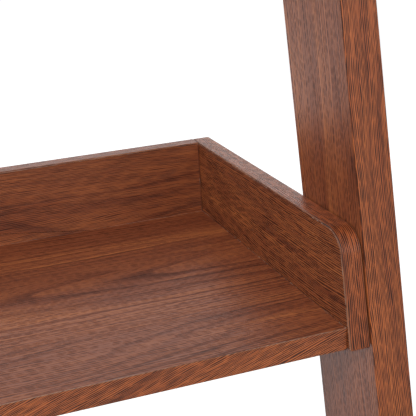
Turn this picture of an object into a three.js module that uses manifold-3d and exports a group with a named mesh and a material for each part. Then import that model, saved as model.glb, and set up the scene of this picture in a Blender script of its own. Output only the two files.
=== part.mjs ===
// A leaning ladder shelf: two sloping uprights that stand on the floor in front of a wall, and five open
// trays between them. Every tray is a floor, a back rail and two side rails, and the trays get shallower
// towards the top, because their backs share the wall's plane and their fronts follow the slope.
// Millimetres. +X is the shelf's right, +Y points to the wall and +Z is up. The origin is on the floor,
// in the middle of the shelf's width and of its depth from toe to wall.
import * as THREE from "three";
import { mergeVertices } from "three/addons/utils/BufferGeometryUtils.js";
import Module from "manifold-3d";

const wasm = await Module();
wasm.setup();

// Driving dimensions
const HEIGHT = 1830;
const DEPTH = 450;
const LEAN_DEG = 10;
const BOARD = 15;
const TRAY_WIDTH = 560; // between the side rails
const UPRIGHT_THICKNESS = 25;
const UPRIGHT_WIDTH = 86; // square to the upright's length

const TIERS = 5;
const FIRST_TIER = 138; // top of the lowest tray's floor
const TIER_PITCH = 390;
const RIM = 62; // rise of the rails above the tray's floor
const SIDE_SETBACK = 2; // upright's front to the side rail's front, at the floor's top
const FLOOR_SETBACK = 4; // upright's front to the floor's front edge
const SIDE_CORNER_RADIUS = 18;
const SIDE_CORNER_STEPS = 6;

// Hardware
const BOLT_RADIUS = 3; // M6 furniture bolts
const BOLT_LENGTH = 70;
const BOLT_TIP = 1; // the tip's point
const BOLT_HEAD_RADIUS = 7.5;
const BOLT_HEAD_HEIGHT = 2;
const BOLT_HEAD_WALL = 1.2; // the head's rim rises this far before its crown
const BOLT_HEAD_CROWN = 1.5; // the crown draws in this far
const BOLT_EDGE_INSET = 22; // bolt axis to the upright's front or rear edge
const HEX_KEY = 4; // across flats
const HEX_DEPTH = 3;
const BOLT_HOLE_RADIUS = 3.6;
const BOLT_CLEARANCE = 2; // past the bolt's tip
const NUT_HOLE_RADIUS = 5.4; // cross-dowel nut, from below
const NUT_INSET = 22; // nut axis to the floor's end
const CAM_HOLE_RADIUS = 7.6;
const CAM_INSET = 24;
const CAM_FROM_BACK = 30;
const POCKET_DEPTH = 12.5; // nut and cam pockets in the floor's underside
const ROUND_SIDES = 12;

const GLIDE_RADIUS = 10;
const GLIDE_HEIGHT = 4;
const GLIDE_CHAMFER = 1;
const GLIDE_PIN_RADIUS = 2.5;
const GLIDE_PIN_LENGTH = 14;
const GLIDE_HOLE_RADIUS = 3;
const GLIDE_INSET = 20; // glide axis to the upright's front or rear edge

const BRACKET_LEG_ALONG = 50; // under the top tray's floor
const BRACKET_LEG_DOWN = 40; // against the wall
const BRACKET_WIDTH = 20;
const BRACKET_THICKNESS = 2;
const BRACKET_BEND = 3; // outside radius of the bend
const BRACKET_BEND_STEPS = 3;
const BRACKET_X = 200;
const BRACKET_SCREWS_FROM_WALL = [25, 41];
const BRACKET_WALL_HOLE_DROP = 26;
const SCREW_RADIUS = 2;
const SCREW_LENGTH = 12;
const SCREW_POINT = 3;
const SCREW_HEAD_RADIUS = 4;
const SCREW_HEAD_HEIGHT = 2.2;
const SCREW_HOLE_RADIUS = 2.5;

const OVERCUT = 1; // how far a cutting tool runs past the face it starts from

// Derived places
const WALL_Y = DEPTH / 2;
const TOE_Y = -DEPTH / 2;
const BACK_Y = WALL_Y - BOARD; // front face of every back rail
const HALF_TRAY = TRAY_WIDTH / 2;
const SIDE_OUTER_X = HALF_TRAY + BOARD;
const SHELF_HALF_WIDTH = SIDE_OUTER_X + UPRIGHT_THICKNESS;
const SLOPE = Math.tan(THREE.MathUtils.degToRad(LEAN_DEG));
const UPRIGHT_DEPTH = UPRIGHT_WIDTH / Math.cos(THREE.MathUtils.degToRad(LEAN_DEG)); // measured level
const uprightFront = (z) => TOE_Y + (z - GLIDE_HEIGHT) * SLOPE;
const tierHeight = (tier) => FIRST_TIER + tier * TIER_PITCH;
const ENDS = { left: -1, right: 1 };

// Materials
const walnut = () => new THREE.MeshStandardMaterial({ color: 0x7d4a35, roughness: 0.45, metalness: 0 });
const darkSteel = () => new THREE.MeshStandardMaterial({ color: 0x3a3430, roughness: 0.4, metalness: 0.9 });
const zincSteel = () => new THREE.MeshStandardMaterial({ color: 0xb4b6b8, roughness: 0.35, metalness: 1 });
const brownPlastic = () => new THREE.MeshStandardMaterial({ color: 0x2d211b, roughness: 0.6, metalness: 0 });

const shelf = new THREE.Group();

function addMesh(name, geometry, material) {
  const mesh = new THREE.Mesh(geometry, material);
  mesh.name = name;
  shelf.add(mesh);
}

// Boolean cuts
function toSolid(geometry) {
  const bare = geometry.index ? geometry.toNonIndexed() : geometry.clone();
  bare.deleteAttribute("normal");
  bare.deleteAttribute("uv");
  const merged = mergeVertices(bare, 1e-3);
  const mesh = new wasm.Mesh({
    numProp: 3,
    vertProperties: new Float32Array(merged.attributes.position.array),
    triVerts: new Uint32Array(merged.index.array),
  });
  return new wasm.Manifold(mesh);
}

function toGeometry(solid) {
  const mesh = solid.getMesh();
  const geometry = new THREE.BufferGeometry();
  geometry.setAttribute("position", new THREE.BufferAttribute(new Float32Array(mesh.vertProperties), 3));
  geometry.setIndex(new THREE.BufferAttribute(new Uint32Array(mesh.triVerts), 1));
  geometry.computeVertexNormals();
  return geometry;
}

const cut = (body, tools) =>
  toGeometry(tools.reduce((left, tool) => left.subtract(toSolid(tool)), toSolid(body)));

const box = (x0, x1, y0, y1, z0, z1) =>
  new THREE.BoxGeometry(x1 - x0, y1 - y0, z1 - z0).translate((x0 + x1) / 2, (y0 + y1) / 2, (z0 + z1) / 2);

// A rod along X from x0 to x1, and one along Z from z0 to z1
const rodX = (radius, x0, x1, y, z, sides = ROUND_SIDES) =>
  new THREE.CylinderGeometry(radius, radius, Math.abs(x1 - x0), sides)
    .rotateZ(Math.PI / 2)
    .translate((x0 + x1) / 2, y, z);
const rodZ = (radius, z0, z1, x, y, sides = ROUND_SIDES) =>
  new THREE.CylinderGeometry(radius, radius, z1 - z0, sides)
    .rotateX(Math.PI / 2)
    .translate(x, y, (z0 + z1) / 2);

// A board drawn in the YZ plane and extruded along X from x0
function boardInYZ(shape, x0, thickness, curveSteps = 1) {
  const geometry = new THREE.ExtrudeGeometry(shape, {
    depth: thickness,
    bevelEnabled: false,
    curveSegments: curveSteps,
  });
  const turn = new THREE.Matrix4().makeBasis(
    new THREE.Vector3(0, 1, 0),
    new THREE.Vector3(0, 0, 1),
    new THREE.Vector3(1, 0, 0),
  );
  return geometry.applyMatrix4(turn).translate(x0, 0, 0);
}

const innerX = (end, nearX, thickness) => (end > 0 ? nearX : -nearX - thickness);

// The two bolts that hold one end of a tray: their places along Y and their shared height
function boltPlaces(tier) {
  const z = tierHeight(tier) - BOARD / 2;
  const front = uprightFront(z);
  return { z, front: front + BOLT_EDGE_INSET, rear: front + UPRIGHT_DEPTH - BOLT_EDGE_INSET };
}

// Uprights
const glideYs = [TOE_Y + GLIDE_INSET, TOE_Y + UPRIGHT_DEPTH - GLIDE_INSET];
const glideX = (end) => end * (SIDE_OUTER_X + UPRIGHT_THICKNESS / 2);

function upright(end) {
  const top = uprightFront(HEIGHT);
  const outline = new THREE.Shape([
    new THREE.Vector2(TOE_Y, GLIDE_HEIGHT),
    new THREE.Vector2(TOE_Y + UPRIGHT_DEPTH, GLIDE_HEIGHT),
    new THREE.Vector2(top + UPRIGHT_DEPTH, HEIGHT),
    new THREE.Vector2(top, HEIGHT),
  ]);
  const x0 = innerX(end, SIDE_OUTER_X, UPRIGHT_THICKNESS);
  const boltHoles = [];
  for (let tier = 0; tier < TIERS; tier++) {
    const places = boltPlaces(tier);
    for (const y of [places.front, places.rear])
      boltHoles.push(rodX(BOLT_HOLE_RADIUS, x0 - OVERCUT, x0 + UPRIGHT_THICKNESS + OVERCUT, y, places.z));
  }
  const pinHoleTop = GLIDE_HEIGHT + GLIDE_PIN_LENGTH + OVERCUT;
  const glideHoles = glideYs.map((y) =>
    rodZ(GLIDE_HOLE_RADIUS, GLIDE_HEIGHT - OVERCUT, pinHoleTop, glideX(end), y),
  );
  return cut(boardInYZ(outline, x0, UPRIGHT_THICKNESS), [...boltHoles, ...glideHoles]);
}

// Trays
function sideRail(tier, end) {
  const floorTop = tierHeight(tier);
  const bottom = floorTop - BOARD;
  const top = floorTop + RIM;
  const front = (z) => uprightFront(floorTop) + SIDE_SETBACK + (z - floorTop) * SLOPE;
  // The front top corner is an arc that meets the sloping front and the level top squarely
  const turn = Math.PI / 2 - THREE.MathUtils.degToRad(LEAN_DEG);
  const tangent = SIDE_CORNER_RADIUS * Math.tan(turn / 2);
  const centreY = front(top) + tangent;
  const centreZ = top - SIDE_CORNER_RADIUS;
  const outline = new THREE.Shape();
  outline.moveTo(WALL_Y, bottom);
  outline.lineTo(WALL_Y, top);
  outline.lineTo(centreY, top);
  outline.absarc(centreY, centreZ, SIDE_CORNER_RADIUS, Math.PI / 2, Math.PI / 2 + turn, false);
  outline.lineTo(front(bottom), bottom);
  outline.closePath();

  const x0 = innerX(end, HALF_TRAY, BOARD);
  const places = boltPlaces(tier);
  const holes = [places.front, places.rear].map((y) =>
    rodX(BOLT_HOLE_RADIUS, x0 - OVERCUT, x0 + BOARD + OVERCUT, y, places.z),
  );
  return cut(boardInYZ(outline, x0, BOARD, SIDE_CORNER_STEPS), holes);
}

function trayFloor(tier) {
  const top = tierHeight(tier);
  const bottom = top - BOARD;
  const places = boltPlaces(tier);
  const holes = [];
  for (const end of Object.values(ENDS)) {
    const endX = end * HALF_TRAY;
    const boreX = end * (SHELF_HALF_WIDTH - BOLT_LENGTH - BOLT_CLEARANCE);
    const pocket = (radius, inset, y) =>
      rodZ(radius, bottom - OVERCUT, bottom + POCKET_DEPTH, endX - end * inset, y);
    for (const y of [places.front, places.rear]) {
      holes.push(rodX(BOLT_HOLE_RADIUS, boreX, endX + end * OVERCUT, y, places.z));
      holes.push(pocket(NUT_HOLE_RADIUS, NUT_INSET, y));
    }
    holes.push(pocket(CAM_HOLE_RADIUS, CAM_INSET, BACK_Y - CAM_FROM_BACK));
    const screwsFromWall = tier === TIERS - 1 ? BRACKET_SCREWS_FROM_WALL : [];
    for (const fromWall of screwsFromWall) {
      const y = WALL_Y - fromWall;
      holes.push(rodZ(SCREW_HOLE_RADIUS, bottom - OVERCUT, bottom + SCREW_LENGTH, end * BRACKET_X, y));
    }
  }
  return cut(box(-HALF_TRAY, HALF_TRAY, uprightFront(top) + FLOOR_SETBACK, BACK_Y, bottom, top), holes);
}

const backRail = (tier) =>
  box(-HALF_TRAY, HALF_TRAY, BACK_Y, WALL_Y, tierHeight(tier) - BOARD, tierHeight(tier) + RIM);

// Furniture bolt: a flat round head outside the upright, a hex socket, and a shank that points inwards
function bolt(end, y, z) {
  const profile = [
    new THREE.Vector2(0, -BOLT_LENGTH),
    new THREE.Vector2(BOLT_RADIUS, -BOLT_LENGTH + BOLT_TIP),
    new THREE.Vector2(BOLT_RADIUS, 0),
    new THREE.Vector2(BOLT_HEAD_RADIUS, 0),
    new THREE.Vector2(BOLT_HEAD_RADIUS, BOLT_HEAD_WALL),
    new THREE.Vector2(BOLT_HEAD_RADIUS - BOLT_HEAD_CROWN, BOLT_HEAD_HEIGHT),
    new THREE.Vector2(0, BOLT_HEAD_HEIGHT),
  ];
  const hexRadius = HEX_KEY / Math.sqrt(3);
  const socket = new THREE.CylinderGeometry(hexRadius, hexRadius, HEX_DEPTH + OVERCUT, 6).translate(
    0,
    BOLT_HEAD_HEIGHT + (OVERCUT - HEX_DEPTH) / 2,
    0,
  );
  return cut(new THREE.LatheGeometry(profile, ROUND_SIDES), [socket])
    .rotateZ((-end * Math.PI) / 2)
    .translate(end * SHELF_HALF_WIDTH, y, z);
}

// Glide: a plastic disc on the floor with a pin pressed into the upright
function glide(end, y) {
  const profile = [
    new THREE.Vector2(0, 0),
    new THREE.Vector2(GLIDE_RADIUS - GLIDE_CHAMFER, 0),
    new THREE.Vector2(GLIDE_RADIUS, GLIDE_CHAMFER),
    new THREE.Vector2(GLIDE_RADIUS, GLIDE_HEIGHT),
    new THREE.Vector2(GLIDE_PIN_RADIUS, GLIDE_HEIGHT),
    new THREE.Vector2(GLIDE_PIN_RADIUS, GLIDE_HEIGHT + GLIDE_PIN_LENGTH - GLIDE_CHAMFER),
    new THREE.Vector2(0, GLIDE_HEIGHT + GLIDE_PIN_LENGTH),
  ];
  return new THREE.LatheGeometry(profile, ROUND_SIDES).rotateX(Math.PI / 2).translate(glideX(end), y, 0);
}

// Wall bracket: a bent steel strip under the top tray, one leg screwed up into its floor, one on the wall
const bracketTop = tierHeight(TIERS - 1) - BOARD;

function wallBracket(end) {
  const low = bracketTop - BRACKET_LEG_DOWN;
  const innerBend = BRACKET_BEND - BRACKET_THICKNESS;
  const innerY = WALL_Y - BRACKET_THICKNESS;
  const innerZ = bracketTop - BRACKET_THICKNESS;
  const outline = new THREE.Shape();
  outline.moveTo(WALL_Y, low);
  outline.lineTo(WALL_Y, bracketTop - BRACKET_BEND);
  outline.absarc(WALL_Y - BRACKET_BEND, bracketTop - BRACKET_BEND, BRACKET_BEND, 0, Math.PI / 2, false);
  outline.lineTo(WALL_Y - BRACKET_LEG_ALONG, bracketTop);
  outline.lineTo(WALL_Y - BRACKET_LEG_ALONG, innerZ);
  outline.lineTo(innerY - innerBend, innerZ);
  outline.absarc(innerY - innerBend, innerZ - innerBend, innerBend, Math.PI / 2, 0, true);
  outline.lineTo(innerY, low);
  outline.closePath();
  const x = end * BRACKET_X;
  const strip = boardInYZ(outline, x - BRACKET_WIDTH / 2, BRACKET_WIDTH, BRACKET_BEND_STEPS);
  const holes = BRACKET_SCREWS_FROM_WALL.map((fromWall) =>
    rodZ(SCREW_HOLE_RADIUS, innerZ - OVERCUT, bracketTop + OVERCUT, x, WALL_Y - fromWall),
  );
  const wallHole = new THREE.CylinderGeometry(
    SCREW_HOLE_RADIUS,
    SCREW_HOLE_RADIUS,
    2 * (BRACKET_THICKNESS + OVERCUT),
    ROUND_SIDES,
  ).translate(x, WALL_Y, bracketTop - BRACKET_WALL_HOLE_DROP);
  return cut(strip, [...holes, wallHole]);
}

// Wood screw, driven upwards: its round head lies under the bracket
function bracketScrew(end, fromWall) {
  const seat = bracketTop - BRACKET_THICKNESS;
  const profile = [
    new THREE.Vector2(0, -SCREW_HEAD_HEIGHT),
    new THREE.Vector2(SCREW_HEAD_RADIUS / 2, -SCREW_HEAD_HEIGHT),
    new THREE.Vector2(SCREW_HEAD_RADIUS, 0),
    new THREE.Vector2(SCREW_RADIUS, 0),
    new THREE.Vector2(SCREW_RADIUS, SCREW_LENGTH - SCREW_POINT),
    new THREE.Vector2(0, SCREW_LENGTH),
  ];
  return new THREE.LatheGeometry(profile, ROUND_SIDES)
    .rotateX(Math.PI / 2)
    .translate(end * BRACKET_X, WALL_Y - fromWall, seat);
}

// Assembly
for (const [side, end] of Object.entries(ENDS)) {
  addMesh(`${side}_upright`, upright(end), walnut());
  addMesh(`${side}_front_glide`, glide(end, glideYs[0]), brownPlastic());
  addMesh(`${side}_rear_glide`, glide(end, glideYs[1]), brownPlastic());
  addMesh(`${side}_wall_bracket`, wallBracket(end), zincSteel());
  BRACKET_SCREWS_FROM_WALL.forEach((fromWall, i) =>
    addMesh(`${side}_bracket_screw_${i + 1}`, bracketScrew(end, fromWall), zincSteel()),
  );
}

for (let tier = 0; tier < TIERS; tier++) {
  const tray = `tray_${tier + 1}`;
  const places = boltPlaces(tier);
  addMesh(`${tray}_floor`, trayFloor(tier), walnut());
  addMesh(`${tray}_back_rail`, backRail(tier), walnut());
  for (const [side, end] of Object.entries(ENDS)) {
    addMesh(`${tray}_${side}_side_rail`, sideRail(tier, end), walnut());
    addMesh(`${tray}_${side}_front_bolt`, bolt(end, places.front, places.z), darkSteel());
    addMesh(`${tray}_${side}_rear_bolt`, bolt(end, places.rear, places.z), darkSteel());
  }
}

export default shelf;
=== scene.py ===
# %% [markdown]
# # A leaning ladder shelf in walnut laminate
# Two uprights lean back against a wall and carry five open trays. The CAD model holds every board, bolt,
# glide and bracket at its real size, so this script only makes them look right: boards with softened
# arrises and a long grain, edge bands that run round the corners, and the small fittings that hold the
# boards together.

import math
import random

import bmesh
import bpy
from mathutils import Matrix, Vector, geometry


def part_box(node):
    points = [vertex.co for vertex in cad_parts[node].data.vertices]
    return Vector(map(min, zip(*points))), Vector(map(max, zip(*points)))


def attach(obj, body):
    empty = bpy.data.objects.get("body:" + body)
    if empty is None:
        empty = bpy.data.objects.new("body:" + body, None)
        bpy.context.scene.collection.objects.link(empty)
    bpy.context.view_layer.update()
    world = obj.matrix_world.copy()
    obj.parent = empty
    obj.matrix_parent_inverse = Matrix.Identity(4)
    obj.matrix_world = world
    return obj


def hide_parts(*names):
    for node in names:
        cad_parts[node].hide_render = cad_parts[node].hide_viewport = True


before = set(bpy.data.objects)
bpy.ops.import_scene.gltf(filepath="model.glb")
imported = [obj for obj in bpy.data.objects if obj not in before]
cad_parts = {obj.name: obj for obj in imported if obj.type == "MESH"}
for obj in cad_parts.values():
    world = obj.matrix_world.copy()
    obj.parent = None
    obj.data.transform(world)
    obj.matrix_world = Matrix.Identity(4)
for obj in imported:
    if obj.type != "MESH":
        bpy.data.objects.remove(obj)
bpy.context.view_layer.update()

MM = 0.001
TRAYS = range(1, 6)
SIDES = {"left": -1, "right": 1}
SHOWN_TRAY = "tray_3"

# %% [markdown]
# ## Camera
# The camera stands in front of the third tray and looks over its front edge at the right-hand corner. A
# camera can be aimed with a constraint at an empty, but here its own right-hand direction is given too,
# because it is held slightly askew. It is placed from the tray's inner front corner, where the floor, its
# front edge and the side rail meet, so that it would follow the tray if the shelf's sizes changed.

# %% Camera
floor_low, floor_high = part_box(f"{SHOWN_TRAY}_floor")
corner = Vector((floor_high.x, floor_low.y, floor_high.z))

CAMERA_FROM_CORNER = Vector((-0.2741, -0.5254, 0.2823))
LOOK = Vector((0.3141, 0.8952, -0.3161)).normalized()
CAMERA_RIGHT = Vector((0.9357, -0.3483, -0.0566)).normalized()
LENS_MM = 87.05
SENSOR_MM = 36.0
NEAREST = 0.05   # metres; nothing closer to the camera, or further than FURTHEST, is drawn
FURTHEST = 60.0

camera_data = bpy.data.cameras.new("camera")
camera_data.lens = LENS_MM
camera_data.sensor_width = SENSOR_MM
camera_data.clip_start = NEAREST
camera_data.clip_end = FURTHEST
camera = bpy.data.objects.new("camera", camera_data)
bpy.context.scene.collection.objects.link(camera)

camera_up = CAMERA_RIGHT.cross(LOOK).normalized()
camera_right = LOOK.cross(camera_up).normalized()
turn = camera.matrix_world.to_3x3()
for row in range(3):
    turn[row][0] = camera_right[row]
    turn[row][1] = camera_up[row]
    turn[row][2] = -LOOK[row]
camera.matrix_world = turn.to_4x4()
camera.location = corner + CAMERA_FROM_CORNER
bpy.context.scene.camera = camera
print("camera at", [round(v, 3) for v in camera.location])

# %% [markdown]
# ## Studio
# A product studio is a sweep of white paper with large soft lamps. The paper is lit separately behind the
# object, so that it turns pure white there, and is duller under the object's feet. More lamps could light
# it, but they would spill on the wood, so the paper glows by itself instead. The reflection of the white
# room is what gives satin laminate its pale sheen on faces seen at a low angle.

# %% Studio floor
bpy.context.scene.view_settings.view_transform = "Standard"

PAPER_HALF = 20.0
PAPER_GLOW_NEAR = 0.05  # under the object
PAPER_GLOW_FAR = 0.77   # behind it
PAPER_LIT_TOWARDS = (0.62, 0.78, 0.0)
PAPER_NEAR_END = 0.30   # how far from the origin, that way, the lit part starts
PAPER_FAR_START = 1.25  # where it is fully lit


def paper_material():
    """White paper whose glow rises behind the object."""
    material = bpy.data.materials.new("studio_white")
    material.use_nodes = True
    tree = material.node_tree
    shader = tree.nodes["Principled BSDF"]
    shader.inputs["Base Color"].default_value = (0.8, 0.8, 0.8, 1.0)
    shader.inputs["Roughness"].default_value = 0.9
    shader.inputs["Specular IOR Level"].default_value = 0.1
    shader.inputs["Emission Color"].default_value = (1.0, 1.0, 1.0, 1.0)
    place = tree.nodes.new("ShaderNodeTexCoord")
    reach = tree.nodes.new("ShaderNodeVectorMath")
    reach.operation = "DOT_PRODUCT"
    reach.inputs[1].default_value = PAPER_LIT_TOWARDS
    rise = tree.nodes.new("ShaderNodeMapRange")
    rise.interpolation_type = "SMOOTHSTEP"
    rise.inputs["From Min"].default_value = PAPER_NEAR_END
    rise.inputs["From Max"].default_value = PAPER_FAR_START
    rise.inputs["To Min"].default_value = PAPER_GLOW_NEAR
    rise.inputs["To Max"].default_value = PAPER_GLOW_FAR
    tree.links.new(place.outputs["Object"], reach.inputs[0])
    tree.links.new(reach.outputs["Value"], rise.inputs["Value"])
    tree.links.new(rise.outputs["Result"], shader.inputs["Emission Strength"])
    return material


def studio_floor(half):
    """A square sheet of the paper under everything."""
    mesh = bpy.data.meshes.new("studio_floor")
    corners = [(-half, -half, 0), (half, -half, 0), (half, half, 0), (-half, half, 0)]
    mesh.from_pydata(corners, [], [(0, 1, 2, 3)])
    mesh.materials.append(paper_material())
    floor = bpy.data.objects.new("studio_floor", mesh)
    bpy.context.scene.collection.objects.link(floor)


studio_floor(PAPER_HALF)
print("paper", 2 * PAPER_HALF, "m wide, glowing from", PAPER_NEAR_END, "m behind the shelf's middle")

# %% World and lamps
ROOM_LIGHT = 0.32
LAMP_TARGET = Vector((0.1, 0.0, 1.0))

world = bpy.data.worlds.new("studio_world")
world.use_nodes = True
background = world.node_tree.nodes["Background"]
background.inputs["Color"].default_value = (1.0, 1.0, 1.0, 1.0)
background.inputs["Strength"].default_value = ROOM_LIGHT
bpy.context.scene.world = world


def soft_lamp(name, place, size, watts):
    """A rectangular lamp that faces the third tray."""
    data = bpy.data.lights.new(name, "AREA")
    data.shape = "RECTANGLE"
    data.size, data.size_y = size
    data.energy = watts
    lamp = bpy.data.objects.new(name, data)
    bpy.context.scene.collection.objects.link(lamp)
    lamp.location = place
    lamp.rotation_euler = (LAMP_TARGET - lamp.location).to_track_quat("-Z", "Y").to_euler()
    print(name, watts, "W at", place)


soft_lamp("top_lamp", (-0.4, -1.0, 2.6), (1.0, 1.0), 5)
soft_lamp("front_lamp", (1.1, -2.4, 1.8), (0.7, 0.7), 6)
soft_lamp("left_lamp", (-1.5, -1.6, 2.5), (1.4, 1.4), 30)
soft_lamp("wall_lamp", (1.4, 4.0, 2.2), (4.0, 1.8), 29)

# %% [markdown]
# ## Node trees in words
# Every finish and every small fitting is a node tree. Trees can be built by hand in the editor, but written
# out they can be read and repeated, so a small class adds nodes, sets their inputs and hands back the
# output that is wanted. A second class does the same for a material, which ends in one shader.

# %% Small helpers for node trees
class Nodes:
    """Adds nodes to a tree by name, and links or sets their inputs."""

    def __init__(self, tree):
        self.tree = tree

    def add(self, kind, inputs=None, **settings):
        node = self.tree.nodes.new(kind)
        for key, value in settings.items():
            setattr(node, key, value)
        for key, value in (inputs or {}).items():
            self.put(node.inputs[key], value)
        return node

    def put(self, socket, value):
        if isinstance(value, bpy.types.NodeSocket):
            self.tree.links.new(value, socket)
        else:
            socket.default_value = value

    def math(self, operation, a, b=0.0, c=0.0, clamp=False):
        node = self.add("ShaderNodeMath", operation=operation, use_clamp=clamp)
        for socket, value in zip(node.inputs, (a, b, c)):
            self.put(socket, value)
        return node.outputs[0]

    def span(self, value, from_low, from_high, to_low=0.0, to_high=1.0, smooth=False):
        kind = "SMOOTHSTEP" if smooth else "LINEAR"
        node = self.add("ShaderNodeMapRange", interpolation_type=kind, clamp=True)
        for key, number in zip(range(5), (value, from_low, from_high, to_low, to_high)):
            self.put(node.inputs[key], number)
        return node.outputs[0]

    def combine(self, x, y, z=0.0):
        node = self.add("ShaderNodeCombineXYZ")
        for socket, value in zip(node.inputs, (x, y, z)):
            self.put(socket, value)
        return node.outputs[0]

    def noise(self, vector, scale=1.0, detail=2.0, roughness=0.5):
        node = self.add("ShaderNodeTexNoise", {"Vector": vector, "Scale": scale, "Detail": detail,
                                               "Roughness": roughness}, noise_dimensions="3D")
        return node.outputs["Fac"]

    def mix(self, share, a, b):
        """A blend of two colours. A Mix node keeps its colour sockets after those for numbers and vectors."""
        node = self.add("ShaderNodeMix", {0: share, 6: a, 7: b}, data_type="RGBA", clamp_factor=True)
        return node.outputs[2]


class MaterialNodes(Nodes):
    """The nodes of a new material, which starts empty."""

    def __init__(self, name):
        self.material = bpy.data.materials.new(name)
        self.material.use_nodes = True
        super().__init__(self.material.node_tree)
        self.tree.nodes.clear()

    def relief(self, height, strength, distance):
        """The normal of a surface that stands up to distance, in metres, proud where height is 1."""
        bump = self.add("ShaderNodeBump", {"Height": height, "Strength": strength, "Distance": distance})
        return bump.outputs[0]

    def finish(self, inputs):
        """Ends the tree in a shader, whose inputs are outputs of nodes or plain numbers."""
        shader = self.add("ShaderNodeBsdfPrincipled", inputs)
        self.add("ShaderNodeOutputMaterial", {0: shader.outputs[0]})
        print(self.material.name, "has", len(self.tree.nodes), "nodes")
        return self.material


def tone(hex_colour):
    """A colour written as six hexadecimal digits, as the linear colour that a shader takes."""
    parts = [int(hex_colour[i:i + 2], 16) / 255 for i in (0, 2, 4)]
    linear = [p / 12.92 if p <= 0.04045 else ((p + 0.055) / 1.055) ** 2.4 for p in parts]
    return (*linear, 1.0)


print("half-way grey is", round(tone("808080")[0], 3), "in linear light")

# %% [markdown]
# ## Walnut laminate
# The boards are chipboard with a printed walnut film, so the figure is flat colour under a satin surface.
# Wood can be drawn with an image, or built up from noise as here: growth rings make the flowing figure,
# stretched noise makes the fibres, and short dark dashes make the pores. Every board carries its own map,
# measured in metres, whose U runs along the grain, so the figure follows each board and the edge bands turn
# the corner with the rail. A second map holds two numbers for the sheet that a board is cut from: how fine
# and how strong it is printed.

# %% Noises that the figure is made of
# Each is given by its cycles to a metre along the grain and across it, the height at which the noise is
# sliced, so that no two look alike, its detail and its roughness
DRIFT = (1.7, 6.0, 0.0, 1.0, 0.5)
WOBBLE = (14.0, 60.0, 2.0, 2.0, 0.5)
HILL = (1.3, 9.0, 5.0, 1.0, 0.4)
RING_PARTS = (4.0, 16.0, 7.0, 2.0, 0.5)
BROAD = (1.6, 34.0, 9.0, 3.0, 0.5)
THREAD = (22.0, 260.0, 11.0, 2.0, 0.7)
VEIN = (3.2, 95.0, 17.0, 1.0, 0.5)
VEIN_PARTS = (7.0, 50.0, 19.0, 2.0, 0.5)
STREAK = (1.5, 30.0, 29.0, 1.0, 0.5)
STREAK_PARTS = (3.0, 14.0, 31.0, 2.0, 0.5)
ROW_SWAY = (8.0, 160.0, 21.0, 1.0, 0.5)
CROWDING = (4.0, 30.0, 15.0, 2.0, 0.5)
SWING = 4.0  # most of a noise lies between 0.25 and 0.75, and becomes -1 to 1
print("threads lie", round(1000 / THREAD[1], 1), "mm apart and run for", round(1000 / THREAD[0]), "mm")

# %% A film that knows its grain
WANDER = 0.010         # metres that the grain drifts sideways, either way
WOBBLE_WIDTH = 0.0012  # the same for its small wobbles


class WalnutFilm(MaterialNodes):
    """A walnut film. Its grain drifts sideways in long waves and small wobbles, to end up at line."""

    def __init__(self, name):
        super().__init__(name)
        grain = self.add("ShaderNodeUVMap", uv_map="grain")
        place = self.add("ShaderNodeSeparateXYZ", {0: grain.outputs[0]})
        sheet = self.add("ShaderNodeUVMap", uv_map="print")
        printed = self.add("ShaderNodeSeparateXYZ", {0: sheet.outputs[0]})
        self.along, self.across = place.outputs[:2]
        self.fineness, self.strength = printed.outputs[:2]
        self.wobble = self.stretched(WOBBLE, self.across)
        drifted = self.math("MULTIPLY_ADD", self.stretched(DRIFT, self.across), WANDER, self.across)
        self.line = self.math("MULTIPLY_ADD", self.wobble, WOBBLE_WIDTH, drifted)

    def stretched(self, noise, line):
        """Noise drawn out along the grain, as a value that swings about zero."""
        cycles_along, cycles_across, height, detail, roughness = noise
        place = self.combine(self.math("MULTIPLY", self.along, cycles_along),
                             self.math("MULTIPLY", line, cycles_across), height)
        value = self.noise(place, 1.0, detail, roughness)
        return self.math("MULTIPLY", self.math("SUBTRACT", value, 0.5), SWING)

    def in_parts(self, value, parts, low, high):
        """The value, faded out over parts of the board."""
        return self.math("MULTIPLY", value, self.span(self.stretched(parts, self.across), low, high))

    def lines(self, noise, width, smooth=False):
        """Long thin lines, where a noise crosses zero."""
        height = self.math("ABSOLUTE", self.stretched(noise, self.line))
        return self.span(height, 0.0, width, 1.0, 0.0, smooth=smooth)


print("the grain drifts by up to", round(WANDER * 1000), "mm")

# %% [markdown]
# Growth rings are drawn as the contour lines of a slow hill that is drawn out along the board. A wave
# texture also makes rings, but evenly spaced ones, while contour lines crowd on a slope and close into
# arches round a summit, as the rings of a sawn board do. Each ring gets darker towards its late wood and
# then stops short.

# %% Growth rings
RINGS = 105.0       # to a metre, on level ground
HILL_RINGS = 7.0    # more or fewer of them from the hill
RING_WOBBLE = 0.12


def growth_rings(film):
    """How dark the late wood is."""
    rings = film.math("MULTIPLY_ADD", film.stretched(HILL, film.line), HILL_RINGS,
                      film.math("MULTIPLY", film.line, RINGS))
    rings = film.math("MULTIPLY_ADD", film.wobble, RING_WOBBLE, rings)
    ring = film.math("FRACT", rings)
    darkening = film.span(ring, 0.40, 0.90, smooth=True)
    late_wood = film.math("MULTIPLY", darkening, film.span(ring, 0.92, 1.0, 1.0, 0.0))
    chance = film.add("ShaderNodeTexWhiteNoise", {"W": film.math("FLOOR", rings)}, noise_dimensions="1D")
    tones = film.span(chance.outputs["Value"], 0.0, 1.0, 0.1, 1.0)
    return film.in_parts(film.math("MULTIPLY", late_wood, tones), RING_PARTS, -0.5, 0.8)


print("a ring is", round(1000 / RINGS, 1), "mm wide on level ground")

# %% [markdown]
# Pores are thin dark dashes in rows side by side. Dashes strewn by chance look like confetti, so here every
# row is filled. Each row is cut into lengths that start at a place of its own, and chance says only how
# dark the dash in each length is. Some sheets are printed finer than others, so the rows follow the sheet's
# own fineness.

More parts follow.
